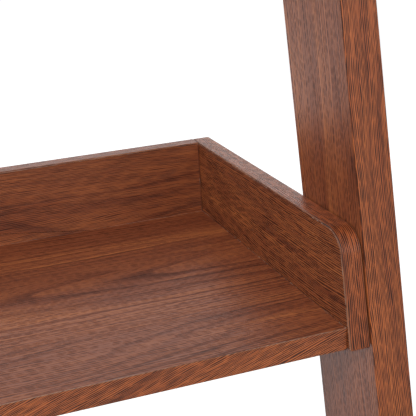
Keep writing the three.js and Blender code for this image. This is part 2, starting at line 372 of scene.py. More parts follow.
# %% Pores
PORE_ROWS = 860      # to a metre across the grain
ROW_BEND = 0.6       # how far rows sway, in rows
ROW_STARTS = 53.0    # spreads the places where rows start
SOFT_FIBRES = 1300.0  # to a metre, between the pores


def pore_comb(film, dashes):
    """Rows of dashes as a value that is high in a pore and low between rows. dashes is how many follow each
    other in a metre of a row."""
    fine = film.math("MULTIPLY", film.line, film.fineness)
    short = film.math("DIVIDE", dashes, film.math("MULTIPLY", film.fineness, film.fineness))
    sway = film.math("MULTIPLY", film.stretched(ROW_SWAY, film.line), ROW_BEND)
    row_place = film.math("MULTIPLY_ADD", fine, PORE_ROWS, sway)
    row = film.math("FLOOR", row_place)
    row_chance = film.add("ShaderNodeTexWhiteNoise", {"W": row}, noise_dimensions="1D").outputs["Value"]
    dash_place = film.math("MULTIPLY_ADD", film.along, short, film.math("MULTIPLY", row_chance, ROW_STARTS))
    cell = film.combine(film.math("FLOOR", dash_place), row)
    chance = film.add("ShaderNodeTexWhiteNoise", {"Vector": cell}, noise_dimensions="2D").outputs["Value"]
    row_round = film.math("SINE", film.math("MULTIPLY", film.math("FRACT", row_place), math.pi))
    dash_round = film.math("SINE", film.math("MULTIPLY", film.math("FRACT", dash_place), math.pi))
    depth = film.math("MULTIPLY_ADD", film.math("MULTIPLY", chance, dash_round), 0.60, 0.55)
    comb = film.math("SUBTRACT", film.math("MULTIPLY", row_round, depth), 0.47)
    fibres = film.stretched((film.math("MULTIPLY", short, 0.6), SOFT_FIBRES, 13.0, 0.0, 0.5), fine)
    comb = film.math("MULTIPLY_ADD", fibres, 0.22, film.math("MULTIPLY", comb, 2.6))
    return film.math("MULTIPLY", comb, film.strength)


def pores_among(film, comb, late_wood):
    """The pores that come out of the comb, with more of them in late wood and in parts of the board."""
    crowd = film.math("MULTIPLY", film.stretched(CROWDING, film.line), 0.15)
    crowd = film.math("MULTIPLY_ADD", late_wood, 0.9, crowd)
    return film.span(film.math("ADD", comb, crowd), -0.10, 0.60, smooth=True)


print("rows of pores lie", round(1000 / PORE_ROWS, 2), "mm apart")

# %% [markdown]
# Broad streaks of tone, fine threads, dark veins and light streaks are added up to one shade, and a colour
# ramp turns the shade into dark, middle and light walnut. The pores go on top as ink. The film's surface is
# satin. The pores are pressed into it, so they are a little duller and lower than the rest.

# %% The film's colour and surface
INK = "30140a"  # the darkest print, in the pores
MIDDLE_SHADE = 0.55
BROAD_SHARE = 0.16
THREAD_SHARE = 0.09
PORE_SHARE = -0.20
VEIN_SHARE = -0.36
STREAK_SHARE = 0.27
SATIN = 0.38     # roughness of the film
PRESSED = 0.12 * MM


def walnut_material(name, figure, pores, dashes, light, middle, dark):
    """Walnut film. figure is the strength of the growth rings, pores that of the dark dashes, and dashes is
    how many of them follow each other in a metre."""
    film = WalnutFilm(name)
    late_wood = growth_rings(film)
    broad = film.stretched(BROAD, film.line)
    thread = film.stretched(THREAD, film.line)
    vein = film.in_parts(film.lines(VEIN, 0.14), VEIN_PARTS, 0.1, 0.9)
    streak = film.in_parts(film.lines(STREAK, 0.20, smooth=True), STREAK_PARTS, -0.2, 0.7)
    comb = pore_comb(film, dashes)
    pore = pores_among(film, comb, late_wood)

    shade = MIDDLE_SHADE
    for part, share in ((broad, BROAD_SHARE), (thread, THREAD_SHARE), (comb, PORE_SHARE), (vein, VEIN_SHARE),
                        (streak, STREAK_SHARE)):
        shade = film.math("MULTIPLY_ADD", part, share, shade)
    shade = film.math("MULTIPLY_ADD", late_wood, -figure, shade, clamp=True)
    ramp = film.add("ShaderNodeValToRGB", {0: shade})
    darkest, lightest = ramp.color_ramp.elements
    darkest.color = tone(dark)
    lightest.color = tone(light)
    ramp.color_ramp.elements.new(0.5).color = tone(middle)
    ink = film.math("MULTIPLY", film.math("MULTIPLY", pore, pores), film.strength, clamp=True)
    colour = film.mix(ink, ramp.outputs[0], tone(INK))

    rough = film.math("MULTIPLY_ADD", thread, 0.03, SATIN)
    rough = film.math("MULTIPLY_ADD", pore, 0.10, rough)
    height = film.math("MULTIPLY_ADD", pore, -1.0, film.math("MULTIPLY", thread, 0.2))
    return film.finish({"Base Color": colour, "Roughness": rough, "Normal": film.relief(height, 0.8, PRESSED),
                        "IOR": 1.5})


walnut_face = walnut_material("walnut_face", 0.50, 0.52, 50.0, "d07f48", "965234", "4a2014")
walnut_edge = walnut_material("walnut_edge", 0.40, 0.56, 75.0, "da7c42", "a3532e", "4a1d10")
# The arris film is paler than the faces: partly scraped wear, partly a painted highlight on the rounded arris
walnut_arris = walnut_material("walnut_arris", 0.10, 0.35, 60.0, "b67850", "9a5d3f", "5f3322")

# %% [markdown]
# ## The cut edge of the film with its painted highlight, and the core under it
# A laminate is paper under its print, so a pale hairline shows here and there where the film is cut. The
# hairline is partly that cut paper and partly a painted highlight along the arris and the joints. A pale
# line all along would be simpler, but the real one comes and goes, so two noises decide where it shows: one
# for short chips and one for long runs. Under the film is chipboard, which shows only in the pockets that
# are drilled for the fittings. Its chips are the cells of a Voronoi texture, each with a tone and a height
# of its own.

# %% Cut film and its painted highlight
CUT_BASE = "6b3a26"
# pale paper, which also stands for a painted highlight
CUT_PAPER_AND_HIGHLIGHT = "bfa494"
SHORT_CHIPS = 260.0  # to a metre
LONG_RUNS = 9.0


def cut_film_and_highlight_material():
    """A hairline of pale paper and painted highlight that shows here and there."""
    film = MaterialNodes("cut_film")
    grain = film.add("ShaderNodeUVMap", uv_map="grain").outputs[0]
    chips = film.noise(grain, SHORT_CHIPS, 1.0)
    runs = film.noise(grain, LONG_RUNS, 1.0)
    chips_and_highlight = film.math("MULTIPLY_ADD", chips, 0.6, film.math("MULTIPLY", runs, 0.9))
    # Paler where the two noises rise: partly cut paper, partly a painted highlight
    colour = film.mix(film.span(chips_and_highlight, 0.66, 0.86), tone(CUT_BASE), tone(CUT_PAPER_AND_HIGHLIGHT))
    return film.finish({"Base Color": colour, "Roughness": 0.7})


cut_film = cut_film_and_highlight_material()

# %% Chipboard
CHIPS = 420.0  # to a metre


def chipboard_material():
    """Pressed wood chips with dark specks of glue."""
    core = MaterialNodes("chipboard")
    place = core.add("ShaderNodeTexCoord").outputs["Object"]
    chips = core.add("ShaderNodeTexVoronoi", {"Vector": place, "Scale": CHIPS})
    split = core.add("ShaderNodeSeparateXYZ", {0: chips.outputs["Color"]})
    colour = core.mix(split.outputs[0], tone("8d6b45"), tone("d3b27f"))
    colour = core.mix(core.span(core.noise(place, CHIPS * 3, 2.0), 0.55, 0.75), colour, tone("6d4f30"))
    normal = core.relief(split.outputs[1], 0.7, 0.3 * MM)
    return core.finish({"Base Color": colour, "Roughness": 0.85, "Normal": normal})


chipboard = chipboard_material()

# %% [markdown]
# ## Boards
# Each board is cut from a sheet, its edges are banded, and the arris between face and band is scraped to a
# small radius. A bevelled box would give the same radius, but drawing the outline once and stacking it up
# in rings keeps the band as one strip round the board, which is what lets the grain run along it.

# %% A rounded outline
ARRIS = 0.8 * MM        # radius of a rail's or an upright's arris
FLOOR_ARRIS = 0.35 * MM  # that of a tray's floor, which is sharper
ARRIS_STEPS = 3
CORNER = 1.0 * MM       # radius of a board's corners, seen on its face
CORNER_STEPS = 3
# The pale hairline is partly cut paper and partly a painted highlight
CUT_AND_HIGHLIGHT_WIDTH = 0.45 * MM   # width of the hairline where the film ends
BAND_SHEET = (1.0, 1.3)  # fineness and strength of the print on the bands
BAND_SHIFT = 1.7        # metres along the grain, so that a band and its face differ
UNDERSIDE_SHIFT = 0.9   # metres across it, so that a board's two faces differ
# The scraped arris faces are printed paler, partly as wear and partly as a painted highlight
FACE, EDGE, SCRAPED_AND_HIGHLIT, CUT_AND_HIGHLIGHT, CORE = range(5)
BOARD_MATERIALS = (walnut_face, walnut_edge, walnut_arris, cut_film, chipboard)


def rounded_ring(corners, radii, steps, inset):
    """A convex outline with round corners, listed anticlockwise and drawn in by inset."""
    ring = []
    count = len(corners)
    for i, point in enumerate(corners):
        before = (point - corners[i - 1]).normalized()
        after = (corners[(i + 1) % count] - point).normalized()
        inward_before = Vector((-before.y, before.x))
        inward_after = Vector((-after.y, after.x))
        bisector = (inward_before + inward_after) / (1 + inward_before.dot(inward_after))
        centre = point + bisector * radii[i]
        start = math.atan2(-inward_before.y, -inward_before.x)
        sweep = inward_before.angle(inward_after)
        for k in range(steps[i] + 1):
            angle = start + sweep * k / steps[i]
            ring.append(centre + (radii[i] - inset) * Vector((math.cos(angle), math.sin(angle))))
    return ring


square = [Vector((0, 0)), Vector((1, 0)), Vector((1, 1)), Vector((0, 1))]
square_ring = rounded_ring(square, [CORNER] * 4, [CORNER_STEPS] * 4, 0)
print("a plain board's outline has", len(square_ring), "points")

# %% [markdown]
# A blind hole can be cut with a Boolean modifier, but a Boolean leaves the map in disorder. Here the face
# is filled with triangles round the holes' rims, and each hole gets a wall and an end of chipboard. The
# triangles are long and thin, so they are shaded flat: with shared normals the face would look like a dish
# between two holes.

# %% Pockets in a face
POCKET_SIDES = 24


def add_pocketed_face(mesh_maker, row, ring, pockets, place, lay, grain_place):
    """The w = 0 face with round blind holes in it."""
    loops = [list(ring)]
    verts = [list(row)]
    for u, v, radius, depth in pockets:
        circle = [Vector((u + radius * math.cos(a), v + radius * math.sin(a)))
                  for a in (2 * math.pi * k / POCKET_SIDES for k in range(POCKET_SIDES))]
        rim = [mesh_maker.verts.new(place(p.x, p.y, 0.0)) for p in circle]
        base = [mesh_maker.verts.new(place(p.x, p.y, depth)) for p in circle]
        for i in range(POCKET_SIDES):
            j = (i + 1) % POCKET_SIDES
            wall = mesh_maker.faces.new((rim[j], rim[i], base[i], base[j]))
            lay(wall, [(0, 0)] * 4, CORE)
        end = mesh_maker.faces.new(list(reversed(base)))
        lay(end, [(0, 0)] * POCKET_SIDES, CORE)
        loops.append(circle)
        verts.append(rim)
    flat = [v for loop in verts for v in loop]
    points = [p for loop in loops for p in loop]
    for a, b, c in geometry.tessellate_polygon([[Vector((p.x, p.y, 0)) for p in loop] for loop in loops]):
        corners = [a, b, c]
        turns_left = (points[b] - points[a]).cross(points[c] - points[a]) > 0
        if turns_left:
            corners.reverse()
        face = mesh_maker.faces.new([flat[i] for i in corners])
        lay(face, [grain_place(points[i], True) for i in corners], FACE)
        face.smooth = False


print("a pocket's rim has", POCKET_SIDES, "sides")

# %% The stack of rings
def ring_levels(arris, thickness, scraped_and_highlit):
    """How far each ring of a board is drawn in, with its depth, and the kind of face that follows it."""
    levels = [(arris + CUT_AND_HIGHLIGHT_WIDTH, 0.0)]
    kinds = [CUT_AND_HIGHLIGHT] + [SCRAPED_AND_HIGHLIT] * ARRIS_STEPS if scraped_and_highlit else [EDGE] * (ARRIS_STEPS + 1)
    for k in range(ARRIS_STEPS + 1):
        angle = math.pi / 2 * k / ARRIS_STEPS
        levels.append((arris * (1 - math.sin(angle)), arris * (1 - math.cos(angle))))
    levels += [(inset, thickness - depth) for inset, depth in reversed(levels)]
    kinds += [EDGE] + kinds[::-1]
    return levels, kinds


def as_board(mesh_maker, name):
    """The finished mesh as an object, with the boards' materials and even shading over its round edges."""
    mesh = bpy.data.meshes.new(name)
    mesh_maker.to_mesh(mesh)
    mesh_maker.free()
    for material in BOARD_MATERIALS:
        mesh.materials.append(material)
    piece = bpy.data.objects.new(name, mesh)
    bpy.context.scene.collection.objects.link(piece)
    smooth = piece.modifiers.new("even_shading", "WEIGHTED_NORMAL")
    smooth.keep_sharp = True
    return piece


print("a board is a stack of", len(ring_levels(ARRIS, 15 * MM, True)[0]), "rings")

# %% A board
def board(name, outline, radii, steps, thickness, place, grain_turn, shift, sheet, arris=ARRIS, pockets=(),
          band_turn=0.0, scraped_and_highlit=True):
    """A board. Its outline lies in a plane, and place(u, v, w) puts a point in the frame, with w through the
    thickness. shift moves the grain's figure so that no two boards look alike. sheet is the fineness and
    strength of the print on the faces. pockets are round holes in the w = 0 face, each (u, v, radius, depth).
    band_turn is the angle at which the grain crosses the edge band. A board without the pale arris and pale
    hairline, which are partly scraped wear and partly a painted highlight, has its film wrapped round the
    arris instead."""
    mesh_maker = bmesh.new()
    uv = mesh_maker.loops.layers.uv.new("grain")
    print_uv = mesh_maker.loops.layers.uv.new("print")
    levels, kinds = ring_levels(arris, thickness, scraped_and_highlit)
    rings = [rounded_ring(outline, radii, steps, inset) for inset, _ in levels]
    rows = [[mesh_maker.verts.new(place(p.x, p.y, depth)) for p in ring]
            for ring, (_, depth) in zip(rings, levels)]
    edge_ring = rings[len(rings) // 2]
    count = len(edge_ring)

    def lay(face, places, kind):
        face.material_index = kind
        face.smooth = kind != CORE
        for loop, (u, v) in zip(face.loops, places):
            loop[uv].uv = (u + shift.x, v + shift.y)
            loop[print_uv].uv = sheet if kind == FACE else BAND_SHEET

    # The band's map is rolled out along the edge and turned by band_turn
    along_band = Vector((math.cos(band_turn), math.sin(band_turn)))
    run = [0.0]
    for i in range(count):
        run.append(run[-1] + (edge_ring[(i + 1) % count] - edge_ring[i]).length)

    def band_place(distance, depth):
        return (distance * along_band.x + depth * along_band.y + BAND_SHIFT,
                depth * along_band.x - distance * along_band.y)

    for k, kind in enumerate(kinds):
        low, high = levels[k][1], levels[k + 1][1]
        for i in range(count):
            j = (i + 1) % count
            face = mesh_maker.faces.new((rows[k][i], rows[k][j], rows[k + 1][j], rows[k + 1][i]))
            lay(face, [band_place(run[i], low), band_place(run[i + 1], low),
                       band_place(run[i + 1], high), band_place(run[i], high)], kind)

    along = Vector((math.cos(grain_turn), math.sin(grain_turn)))
    side = Vector((-along.y, along.x))

    def grain_place(p, flip):
        return (p.dot(along), p.dot(side) + (UNDERSIDE_SHIFT if flip else 0.0))

    top = mesh_maker.faces.new(rows[-1])
    lay(top, [grain_place(p, False) for p in rings[-1]], FACE)
    if not pockets:
        bottom = mesh_maker.faces.new(list(reversed(rows[0])))
        lay(bottom, [grain_place(p, True) for p in reversed(rings[0])], FACE)
    else:
        add_pocketed_face(mesh_maker, rows[0], rings[0], pockets, place, lay, grain_place)

    return as_board(mesh_maker, name)


print("a pocketed board has materials for", len(BOARD_MATERIALS), "kinds of face")

# %% [markdown]
# No two boards come from the same place in a sheet, so every board's map is shifted by chance. The seed is
# fixed, so the same figure comes out each time.

# %% Where a board's figure lies
FIGURE_SEED = 12
SHEET_LENGTH = 40  # metres to choose from, each way

random.seed(FIGURE_SEED)


def next_shift():
    """Where in the sheet the next board is cut from."""
    return Vector((random.uniform(0, SHEET_LENGTH), random.uniform(0, SHEET_LENGTH)))


def finish_board(piece, node):
    """Lets a board stand for its CAD node."""
    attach(piece, "root")
    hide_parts(node)


print("figures are picked from", SHEET_LENGTH, "m each way")

# %% [markdown]
# ## Rectangular boards
# The tray floors and back rails are plain rectangles, so a board's sizes come straight from its CAD node's
# box. Three axes say how the board lies: u along the grain, v across it and w through the thickness.
# Separate meshes could be turned into place, but a map of points into the frame keeps every object at the
# origin, unturned.

# %% Rectangular boards
FLOOR_SHEET = (0.60, 0.60)  # fineness and strength of the print
BACK_SHEET = (0.95, 0.80)
FLOOR_BAND_TURN = math.radians(20)  # the floors' bands are cut askew to the grain


def rectangle(width, depth):
    """A rectangle's corners, listed anticlockwise."""
    return [Vector((0, 0)), Vector((width, 0)), Vector((width, depth)), Vector((0, depth))]


def plain_board(node, u_axis, v_axis, w_axis, sheet, arris, pockets=(), band_turn=0.0):
    """A rectangular board that fills the node's box, with its grain along u_axis."""
    low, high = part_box(node)
    size = high - low
    axes = [Vector((1, 0, 0)), Vector((0, 1, 0)), Vector((0, 0, 1))]
    width, depth, thickness = size[u_axis], size[v_axis], size[w_axis]

    # u, v and w have to be right-handed for the faces to point outwards
    right_handed = axes[u_axis].cross(axes[v_axis]).dot(axes[w_axis]) > 0

    def place(u, v, w):
        through = w if right_handed else thickness - w
        return low + axes[u_axis] * u + axes[v_axis] * v + axes[w_axis] * through

    piece = board(node.replace("tray", "walnut_tray"), rectangle(width, depth), [CORNER] * 4,
                  [CORNER_STEPS] * 4, thickness, place, 0.0, next_shift(), sheet, arris, pockets, band_turn)
    finish_board(piece, node)
    print(node, "is", round(width / MM), "by", round(depth / MM), "by", round(thickness / MM), "mm")


print("floor bands are turned by", round(math.degrees(FLOOR_BAND_TURN)), "degrees")

# %% [markdown]
# ## Pockets for the fittings
# Cross-dowel nuts sit under each floor on the bolts' own axes, and cam locks beside them near the rear.
# Screws go through each back rail into the floor's edge. The places are worked out once and used twice, for
# the pockets in the boards and later for the fittings in them, so the two can't drift apart.

# %% Where the pockets and screws are
WALL_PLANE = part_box("tray_1_back_rail")[1].y
NUT_X = 258 * MM
CAM_X = 256 * MM
CAM_Y = 180 * MM
CAM_PLACES = [(sign * CAM_X, CAM_Y) for sign in SIDES.values()]
NUT_POCKET = (5.4 * MM, 12.5 * MM)    # radius and depth
CAM_POCKET = (7.6 * MM, 12.5 * MM)
SCREW_POCKET = (4.2 * MM, 2.6 * MM)
RAIL_SCREW_X = [-210 * MM, -70 * MM, 70 * MM, 210 * MM]


def nut_places(tray):
    """x and y of the cross-dowel nuts, which lie on the bolts' axes."""
    places = []
    for side, sign in SIDES.items():
        for end in ("front", "rear"):
            low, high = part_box(f"tray_{tray}_{side}_{end}_bolt")
            places.append((sign * NUT_X, (low.y + high.y) / 2))
    return places


def rail_screw_places(tray):
    """x and z of the screws through the back rail, halfway up the floor's edge."""
    low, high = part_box(f"tray_{tray}_floor")
    return [(x, (low.z + high.z) / 2) for x in RAIL_SCREW_X]


def pockets_from(places, corner, pocket):
    """The pockets as a board wants them, measured from its own corner."""
    return [(u - corner[0], v - corner[1], *pocket) for u, v in places]


print("under each floor", len(nut_places(1)), "nuts and", len(CAM_PLACES), "cam locks")
print("behind each rail", len(rail_screw_places(1)), "screws")

# %% Tray floors and back rails
for tray in TRAYS:
    floor_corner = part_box(f"tray_{tray}_floor")[0].xy
    under = pockets_from(nut_places(tray), floor_corner, NUT_POCKET)
    under += pockets_from(CAM_PLACES, floor_corner, CAM_POCKET)
    plain_board(f"tray_{tray}_floor", 0, 1, 2, FLOOR_SHEET, FLOOR_ARRIS, under, FLOOR_BAND_TURN)
    rail_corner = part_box(f"tray_{tray}_back_rail")[0].xz
    behind = pockets_from(rail_screw_places(tray), rail_corner, SCREW_POCKET)
    plain_board(f"tray_{tray}_back_rail", 0, 2, 1, BACK_SHEET, ARRIS, behind)

# %% [markdown]
# ## Side rails and uprights
# These boards have a front edge that leans back with the shelf, and a side rail's front top corner is
# rounded off. Shearing a rectangle would lean the edge, but it would squash the round corner, so the
# outline is drawn with its lean first and rounded after. A side rail stands a hair off its upright, which
# gives the dark line between them.

# %% Side rails and uprights
LEAN = math.radians(10)
SIDE_SHEET = (0.90, 1.30)     # fineness and strength of the print
UPRIGHT_SHEET = (0.54, 0.75)
RAIL_CORNER = 18 * MM
RAIL_CORNER_STEPS = 14
RAIL_GAP = 0.6 * MM  # the side rails stand this far off the uprights


def sloping_outline(node):
    """Bottom front, bottom rear, top rear and top front corners of a board seen from its side."""
    low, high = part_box(node)
    shift = (high.z - low.z) * math.tan(LEAN)
    bottom_rear = high.y if "rail" in node else high.y - shift
    return [Vector((low.y, low.z)), Vector((bottom_rear, low.z)), Vector((high.y, high.z)),
            Vector((low.y + shift, high.z))]


def sloping_board(node, corner_radii, corner_steps, name, grain_turn, sheet, gap_side=0, gap=0.0):
    """A board in the YZ plane whose front edge leans back. gap is taken off its thickness on the gap_side."""
    low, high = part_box(node)
    thickness = high.x - low.x - gap
    start = low.x + (gap if gap_side < 0 else 0.0)

    def place(u, v, w):
        return Vector((start + w, u, v))

    piece = board(name, sloping_outline(node), corner_radii, corner_steps, thickness, place, grain_turn,
                  next_shift(), sheet, scraped_and_highlit="rail" in node)
    finish_board(piece, node)


for side, sign in SIDES.items():
    sloping_board(f"{side}_upright", [CORNER] * 4, [CORNER_STEPS] * 4, f"walnut_{side}_upright",
                  math.pi / 2 - LEAN, UPRIGHT_SHEET)
    for tray in TRAYS:
        sloping_board(f"tray_{tray}_{side}_side_rail", [CORNER] * 3 + [RAIL_CORNER],
                      [CORNER_STEPS] * 3 + [RAIL_CORNER_STEPS], f"walnut_tray_{tray}_{side}_side_rail", 0.0,
                      SIDE_SHEET, sign, RAIL_GAP)

# %% [markdown]
# ## Small fittings
# M6 bolts with low domed bronze heads go through the uprights and rails into cross-dowel nuts, which sit in
# pockets under each floor beside the cam locks. Small screws hold the back rails and the wall brackets, and
# a plastic glide is pressed into each end of an upright's foot. Every fitting is a turned shape that comes
# many times over, so Geometry Nodes turns it once, by pulling a disc through a list of radii and heights,
# and sets one on every point of a cloud. A lathe modifier could turn the round parts, but the chain of
# pulls also draws the ring into a hexagon for the key.

# %% A tree that turns a fitting and sets it on points
WELD = 0.001 * MM  # points closer than this become one


class FittingTree(Nodes):
    """A Geometry Nodes tree with named sizes. Heights run outwards from the seat, where the point is."""

    def __init__(self, name, sizes):
        super().__init__(bpy.data.node_groups.new(name, "GeometryNodeTree"))
        kinds = {"Points": "Geometry", "Material": "Material", "Seed": "Int"}
        kinds.update({size: "Float" for size in sizes})
        for title, kind in kinds.items():
            self.tree.interface.new_socket(title, in_out="INPUT", socket_type=f"NodeSocket{kind}")
        self.tree.interface.new_socket("Fittings", in_out="OUTPUT", socket_type="NodeSocketGeometry")
        self.given = self.add("NodeGroupInput").outputs
        self.position = self.add("GeometryNodeInputPosition").outputs[0]
        level = self.vector("MULTIPLY", self.position, (1.0, 1.0, 0.0))
        self.outward = self.vector("NORMALIZE", level)
        self.hexagon = self.hexagon_reach()

    def vector(self, operation, a, b=(0.0, 0.0, 0.0)):
        node = self.add("ShaderNodeVectorMath", {0: a, 1: b}, operation=operation)
        return node.outputs[0]

    def hexagon_reach(self):
        """How much further out than its flats a hexagon reaches, in the direction of each point."""
        split = self.add("ShaderNodeSeparateXYZ", {0: self.outward})
        angle = self.math("ARCTAN2", split.outputs[1], split.outputs[0])
        sixth = math.pi / 3
        from_corner = self.math("FLOORED_MODULO", self.math("ADD", angle, sixth / 2), sixth)
        from_flat = self.math("SUBTRACT", from_corner, sixth / 2)
        return self.math("DIVIDE", 1.0, self.math("COSINE", from_flat))

    def share(self, part):
        """A share of a named size, written as (size, share)."""
        size, factor = part
        return self.math("MULTIPLY", self.given[size], factor)

    def at_step(self, shape, selection, step):
        """Moves the selected points to a step's radius and height."""
        radius, height, *form = step
        reach = self.share(radius)
        if "hexagon" in form:
            reach = self.math("MULTIPLY", reach, self.hexagon)
        around = self.vector("MULTIPLY", self.outward, self.combine(reach, reach, reach))
        place = self.vector("ADD", around, self.combine(0.0, 0.0, self.share(height)))
        moved = self.add("GeometryNodeSetPosition", {"Geometry": shape, "Selection": selection,
                                                     "Position": place})
        return moved.outputs[0]

    def turned(self, steps, sides):
        """Pulls a disc through the steps, each a radius and a height, and closes it at the start."""
        disc = self.add("GeometryNodeMeshCircle", {"Vertices": sides}, fill_type="NGON").outputs[0]
        disc = self.at_step(disc, True, steps[0])
        shape = disc
        top = True
        for step in steps[1:]:
            pulled = self.add("GeometryNodeExtrudeMesh", {"Mesh": shape, "Selection": top,
                                                          "Offset Scale": 0.0, "Individual": False},
                              mode="FACES")
            top = pulled.outputs["Top"]
            shape = self.at_step(pulled.outputs["Mesh"], top, step)
        start = self.add("GeometryNodeFlipFaces", {"Mesh": disc}).outputs[0]
        joined = self.add("GeometryNodeJoinGeometry")
        for part in (shape, start):
            self.put(joined.inputs[0], part)
        merged = self.add("GeometryNodeMergeByDistance", {"Geometry": joined.outputs[0], "Distance": WELD})
        return merged.outputs[0]

    def slotted(self, shape, slots):
        """Cuts straight slots, each (length, width, depth, height of its middle, turn)."""
        cut = self.add("GeometryNodeMeshBoolean", operation="DIFFERENCE")
        self.put(cut.inputs[0], shape)
        for length, width, depth, height, turn in slots:
            size = self.combine(self.share(length), self.share(width), self.share(depth))
            bar = self.add("GeometryNodeMeshCube", {"Size": size}).outputs[0]
            middle = self.combine(0.0, 0.0, self.share(height))
            bar = self.add("GeometryNodeTransform", {"Geometry": bar, "Translation": middle,
                                                     "Rotation": (0.0, 0.0, turn)}).outputs[0]
            self.put(cut.inputs[1], bar)
        return cut.outputs[0]

    def set_on_points(self, shape):
        """One shape on each point, with its height axis along the point's facing and a turn of its own."""
        marked = self.add("GeometryNodeStoreNamedAttribute", {"Geometry": shape, "Name": "turned"},
                          data_type="FLOAT_VECTOR", domain="POINT")
        self.put(marked.inputs["Value"], self.position)
        facing = self.add("GeometryNodeInputNamedAttribute", {"Name": "facing"}, data_type="FLOAT_VECTOR")
        aim = self.add("FunctionNodeAlignRotationToVector", {"Vector": facing.outputs[0]}, axis="Z")
        chance = self.add("FunctionNodeRandomValue", {"Seed": self.given["Seed"]}, data_type="FLOAT")
        turn = self.math("MULTIPLY", chance.outputs[1], 2 * math.pi)
        spin = self.add("FunctionNodeAxisAngleToRotation", {"Angle": turn}).outputs[0]
        way = self.add("FunctionNodeRotateRotation", {0: aim.outputs[0], 1: spin},
                       rotation_space="LOCAL").outputs[0]
        placed = self.add("GeometryNodeInstanceOnPoints", {"Points": self.given["Points"],
                                                           "Instance": marked.outputs[0], "Rotation": way})
        solid = self.add("GeometryNodeRealizeInstances", {0: placed.outputs[0]}).outputs[0]
        painted = self.add("GeometryNodeSetMaterial", {"Geometry": solid, "Material": self.given["Material"]})
        self.add("NodeGroupOutput", {0: painted.outputs[0]})
        print(self.tree.name, "tree has", len(self.tree.nodes), "nodes")
        return self.tree


print("points within", WELD / MM, "mm are welded")

# %% [markdown]
# The tree is hung as a modifier on a cloud of points, one for each seat, with the way that the fitting
# faces in an attribute. Empty objects could carry the places too, but a cloud keeps them in one object. The
# modifier's result is then copied out as a plain mesh, which can be measured and exported like any other.

# %% Putting a tree to work
CREASE = math.radians(32)  # edges sharper than this stay crisp


def set_fittings(name, tree, sizes, seats, material, replaced, seed):
    """Sets a fitting on every seat, which is a (place, facing) pair, and keeps the result as a plain mesh."""
    cloud = bpy.data.meshes.new(f"{name}_seats")
    cloud.from_pydata([place for place, _ in seats], [], [])
    facing = cloud.attributes.new("facing", "FLOAT_VECTOR", "POINT")
    for value, (_, direction) in zip(facing.data, seats):
        value.vector = direction
    holder = bpy.data.objects.new(f"{name}_seats", cloud)
    bpy.context.scene.collection.objects.link(holder)
    modifier = holder.modifiers.new("fittings", "NODES")
    modifier.node_group = tree
    values = {**sizes, "Seed": seed, "Material": material}
    for socket in tree.interface.items_tree:
        if socket.in_out == "INPUT" and socket.name in values:
            modifier[socket.identifier] = values[socket.name]
    evaluated = holder.evaluated_get(bpy.context.evaluated_depsgraph_get())
    mesh = bpy.data.meshes.new_from_object(evaluated)
    bpy.data.objects.remove(holder)
    mesh.polygons.foreach_set("use_smooth", [True] * len(mesh.polygons))
    mesh.set_sharp_from_angle(angle=CREASE)
    piece = bpy.data.objects.new(name, mesh)
    bpy.context.scene.collection.objects.link(piece)
    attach(piece, "root")
    if replaced:
        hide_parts(*replaced)

    check = bmesh.new()
    check.from_mesh(mesh)
    open_edges = sum(1 for edge in check.edges if not edge.is_manifold)
    volume = check.calc_volume(signed=True) / len(seats)
    check.free()
    print(name, len(seats), "fittings,", len(mesh.polygons), "faces,", open_edges, "open edges,",
          round(volume / MM ** 3, 1), "mm3 each")


print("edges over", round(math.degrees(CREASE)), "degrees stay crisp")

# %% [markdown]
# ## Metals and plastics of the fittings
# Plated steel is a bright or dark metal whose gloss varies in soft clouds, with the fine rings that a lathe
# leaves. The turned shapes carry their own coordinates in an attribute, so the rings stay centred on each
# fitting, and the bent brackets take only the clouds, from object coordinates. One function makes all four
# finishes, because they differ only in colour, gloss and the size of their clouds.

# %% Plated steel and moulded plastic
LATHE_MARKS = 2600.0  # rings to a metre
MARK_DEPTH = 0.06 * MM


def fitting_material(name, base, tint, metallic, roughness, mottle, rings):
    """base and tint alternate in clouds, mottle of them to a metre. rings is the depth of the lathe marks."""
    plate = MaterialNodes(name)
    place = plate.add("ShaderNodeTexCoord").outputs["Object"]
    clouds = plate.noise(place, mottle, 4.0, 0.6)
    specks = plate.noise(place, mottle * 9.0, 2.0, 0.6)
    colour = plate.mix(plate.span(clouds, 0.35, 0.65), tone(base), tone(tint))
    rough = plate.math("MULTIPLY_ADD", plate.math("SUBTRACT", clouds, 0.5), 0.35, roughness)
    rough = plate.math("MULTIPLY_ADD", plate.math("SUBTRACT", specks, 0.5), 0.12, rough, clamp=True)
    height = plate.math("MULTIPLY", specks, 0.4)
    if rings:
        turned = plate.add("ShaderNodeAttribute", attribute_name="turned").outputs["Vector"]
        level = plate.add("ShaderNodeVectorMath", {0: turned, 1: (1.0, 1.0, 0.0)}, operation="MULTIPLY")
        radius = plate.add("ShaderNodeVectorMath", {0: level.outputs[0]}, operation="LENGTH").outputs["Value"]
        marks = plate.math("SINE", plate.math("MULTIPLY", radius, 2 * math.pi * LATHE_MARKS))
        height = plate.math("MULTIPLY_ADD", marks, rings, height)
    normal = plate.relief(height, 0.5, MARK_DEPTH)
    return plate.finish({"Base Color": colour, "Roughness": rough, "Normal": normal, "Metallic": metallic})


bronze_plate = fitting_material("bronze_plate", "4a3c34", "5e4a3d", 1.0, 0.36, 240.0, 0.5)
zinc_plate = fitting_material("zinc_plate", "b9bcc0", "a9a89a", 1.0, 0.32, 180.0, 0.5)
zinc_sheet = fitting_material("zinc_sheet", "b9bcc0", "a9a89a", 1.0, 0.34, 90.0, 0.0)
brown_plastic = fitting_material("brown_plastic", "2e211a", "35271f", 0.0, 0.48, 500.0, 0.0)

# %% [markdown]
# ## Bolts
# A furniture bolt has a shallow domed head with a hexagonal socket for the key. Its profile is a list of
# steps from the tip of the shank to the bottom of the socket. Each step is a radius and a height, given as
# shares of the named sizes, so that a change of size keeps the shape.

# %% Bolts
BOLT = {"Shank radius": 3 * MM, "Shank length": 70 * MM, "Head radius": 7.5 * MM, "Head height": 2 * MM,
        "Key": 4 * MM}
BOLT_SIDES = 36


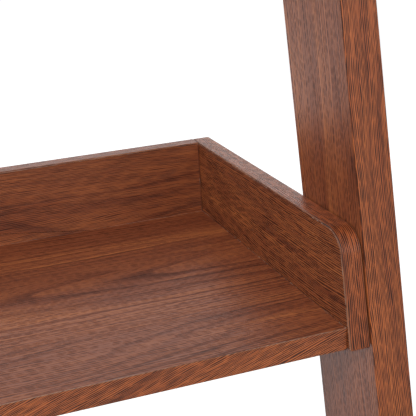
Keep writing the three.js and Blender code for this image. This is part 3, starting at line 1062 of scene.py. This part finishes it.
def bolt_tree():
    tree = FittingTree("furniture_bolt", BOLT)
    shank, length, head, height, key = BOLT
    steps = [((shank, 0.72), (length, -1.0)),
             ((shank, 1.0), (length, -0.986)),
             ((shank, 1.0), (height, 0.0)),
             ((head, 0.97), (height, 0.0)),
             ((head, 1.0), (height, 0.12)),
             ((head, 1.0), (height, 0.50)),
             ((head, 0.97), (height, 0.70)),
             ((head, 0.88), (height, 0.88)),
             ((head, 0.72), (height, 0.97)),
             ((head, 0.45), (height, 1.0)),
             ((key, 0.58), (height, 1.0), "hexagon"),
             ((key, 0.50), (height, 0.88), "hexagon"),
             ((key, 0.50), (height, -0.45), "hexagon"),
             ((key, 0.10), (height, -0.60))]
    return tree.set_on_points(tree.turned(steps, BOLT_SIDES))


bolt_nodes = [f"tray_{tray}_{side}_{end}_bolt"
              for tray in TRAYS for side in SIDES for end in ("front", "rear")]


def bolt_seat(node):
    """Where the head of a bolt meets its upright, and the way that it faces."""
    low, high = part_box(node)
    middle = (low + high) / 2
    outwards = 1 if middle.x > 0 else -1
    seat = (high.x if outwards > 0 else low.x) - outwards * BOLT["Head height"]
    return Vector((seat, middle.y, middle.z)), Vector((outwards, 0, 0))


bolt_seats = [bolt_seat(node) for node in bolt_nodes]
set_fittings("bronze_bolts", bolt_tree(), BOLT, bolt_seats, bronze_plate, bolt_nodes, 3)

# %% [markdown]
# ## Cross-dowel nuts and cam locks
# Both are short round dowels of zinc. A nut shows one straight slot and a cam lock a cross with a pointer.
# The slots could be drawn in a texture, but real ones catch the light, so they are cut into the turned
# shape with bars.

# %% Cross-dowel nuts and cam locks
UNDER = Vector((0, 0, -1))
TO_WALL = Vector((0, 1, 0))
NUT = {"Radius": 5.1 * MM, "Length": 12 * MM, "Slot": 1.3 * MM}
CAM = {"Radius": 7.3 * MM, "Length": 12 * MM, "Slot": 1.5 * MM}
NUT_SIDES = 24
CAM_SIDES = 28
SUNK = 0.3 * MM  # the fittings stop this far inside their pockets


def cross_slots(length, slot, depth, height):
    """Two crossing slots. One is a little deeper, so that their floors don't coincide."""
    return [(length, (slot, 1.0), (slot, depth), height, 0.0),
            (length, (slot, 0.97), (slot, depth * 0.93), height, math.pi / 2)]


def nut_tree():
    tree = FittingTree("cross_dowel_nut", NUT)
    radius, length, slot = NUT
    shape = tree.turned([((radius, 0.92), (length, -1.0)),
                         ((radius, 1.0), (length, -0.96)),
                         ((radius, 1.0), (length, -0.04)),
                         ((radius, 0.90), (length, 0.0))], NUT_SIDES)
    shape = tree.slotted(shape, [((radius, 2.5), (slot, 1.0), (slot, 2.4), (length, 0.0), 0.0)])
    return tree.set_on_points(shape)


def cam_tree():
    tree = FittingTree("cam_lock", CAM)
    radius, length, slot = CAM
    shape = tree.turned([((radius, 0.95), (length, -1.0)),
                         ((radius, 1.0), (length, -0.97)),
                         ((radius, 1.0), (length, -0.04)),
                         ((radius, 0.97), (length, 0.0)),
                         ((radius, 0.86), (length, 0.0)),
                         ((radius, 0.82), (length, -0.05)),
                         ((radius, 0.45), (length, -0.05)),
                         ((radius, 0.42), (length, -0.02))], CAM_SIDES)
    cross = cross_slots((radius, 0.78), slot, 3.4, (length, 0.0))
    pointer = ((radius, 2.4), (slot, 0.4), (slot, 1.2), (length, -0.02), 0.0)
    return tree.set_on_points(tree.slotted(shape, cross + [pointer]))


def under_floor(x, y, tray):
    """A seat just inside the underside of a tray's floor."""
    return Vector((x, y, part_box(f"tray_{tray}_floor")[0].z + SUNK)), UNDER


nut_seats = [under_floor(x, y, tray) for tray in TRAYS for x, y in nut_places(tray)]
cam_seats = [under_floor(x, y, tray) for tray in TRAYS for x, y in CAM_PLACES]
set_fittings("zinc_cross_dowel_nuts", nut_tree(), NUT, nut_seats, zinc_plate, (), 5)
set_fittings("zinc_cam_locks", cam_tree(), CAM, cam_seats, zinc_plate, (), 8)

# %% [markdown]
# ## Screws
# The back rails are held by countersunk screws and the brackets by domed ones, both with a cross. A thread
# is a helix, but at this size rings look the same and need far fewer faces, so the shank swells and narrows
# in steps.

# %% Screws of the back rails and brackets
SCREW = {"Shank radius": 1.9 * MM, "Shank length": 30 * MM, "Head radius": 3.9 * MM, "Head height": 2.2 * MM,
         "Slot": 0.9 * MM}
BRACKET_SCREW = {**SCREW, "Shank length": 12 * MM, "Head radius": 4 * MM}
THREADS = 7
THREAD_START = -0.82  # shares of the shank's length, from the head
THREAD_PITCH = 0.09
THREAD_SLOPE = 0.04
SCREW_SIDES = 20


def thread_steps(shank, length):
    """A pointed shank whose radius rises and falls with each turn of the thread."""
    steps = [((shank, 0.10), (length, -1.0)), ((shank, 0.75), (length, -0.86))]
    for k in range(THREADS):
        foot = THREAD_START + THREAD_PITCH * k
        steps += [((shank, 1.0), (length, foot)), ((shank, 0.75), (length, foot + THREAD_SLOPE))]
    return steps


def screw_tree(name, flush):
    """A cross-head screw. A flush one has its cone below the seat, the other a domed head above it."""
    tree = FittingTree(name, SCREW)
    shank, length, head, height, slot = SCREW
    steps = thread_steps(shank, length)
    if flush:
        steps += [((shank, 0.95), (height, -1.0)),
                  ((head, 0.97), (height, -0.12)),
                  ((head, 1.0), (height, 0.0)),
                  ((head, 0.70), (height, 0.0))]
        top = 0.0
    else:
        steps += [((shank, 1.0), (height, 0.0)),
                  ((head, 0.96), (height, 0.0)),
                  ((head, 1.0), (height, 0.22)),
                  ((head, 0.97), (height, 0.55)),
                  ((head, 0.80), (height, 0.85)),
                  ((head, 0.45), (height, 1.0))]
        top = 1.0
    cross = cross_slots((head, 1.1), slot, 2.6, (height, top))
    return tree.set_on_points(tree.slotted(tree.turned(steps, SCREW_SIDES), cross))


def seat_above(node, height):
    """The seat of a fitting that faces down, height above the lowest point of its node."""
    low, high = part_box(node)
    middle = (low + high) / 2
    return Vector((middle.x, middle.y, low.z + height)), UNDER


rail_seats = []
for tray in TRAYS:
    rail_seats += [(Vector((x, WALL_PLANE - SUNK, z)), TO_WALL) for x, z in rail_screw_places(tray)]
set_fittings("zinc_back_rail_screws", screw_tree("flush_screw", True), SCREW, rail_seats, zinc_plate,
             (), 11)

bracket_screws = [f"{side}_bracket_screw_{k}" for side in SIDES for k in (1, 2)]
bracket_seats = [seat_above(node, BRACKET_SCREW["Head height"]) for node in bracket_screws]
set_fittings("zinc_bracket_screws", screw_tree("domed_screw", False), BRACKET_SCREW, bracket_seats,
             zinc_plate, bracket_screws, 13)

# %% [markdown]
# ## Glides
# A glide is a plastic disc with a pin that is pressed into the foot. Its underside has a shallow dish in
# the middle, where the moulding sinks as it cools, and a rounded rim that slides over the floor. It is
# turned like the bolts.

# %% Glides under the feet
GLIDE = {"Pin radius": 2.5 * MM, "Pin length": 14 * MM, "Radius": 10 * MM, "Height": 4 * MM}
GLIDE_SIDES = 32


def glide_tree():
    tree = FittingTree("foot_glide", GLIDE)
    pin, length, radius, height = GLIDE
    steps = [((pin, 0.35), (length, -1.0)),
             ((pin, 1.0), (length, -0.82)),
             ((pin, 1.0), (height, 0.0)),
             ((radius, 1.0), (height, 0.0)),
             ((radius, 1.0), (height, 0.70)),
             ((radius, 0.97), (height, 0.88)),
             ((radius, 0.90), (height, 1.0)),
             ((radius, 0.36), (height, 1.0)),
             ((radius, 0.33), (height, 0.88)),
             ((radius, 0.12), (height, 0.82))]
    return tree.set_on_points(tree.turned(steps, GLIDE_SIDES))


glide_nodes = [f"{side}_{end}_glide" for side in SIDES for end in ("front", "rear")]
glide_seats = [seat_above(node, GLIDE["Height"]) for node in glide_nodes]
set_fittings("plastic_glides", glide_tree(), GLIDE, glide_seats, brown_plastic,
             glide_nodes, 17)

# %% [markdown]
# ## Wall brackets
# Each bracket is a strip of bent sheet steel, and its CAD body already has that shape. A body whose shape
# is right needs no new mesh, only a finish, so its material slots are filled with the zinc sheet.

# %% Wall brackets
for side in SIDES:
    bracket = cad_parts[f"{side}_wall_bracket"]
    for slot in bracket.material_slots:
        slot.material = zinc_sheet
    print(bracket.name, "in zinc-plated sheet,", len(bracket.data.polygons), "triangles")
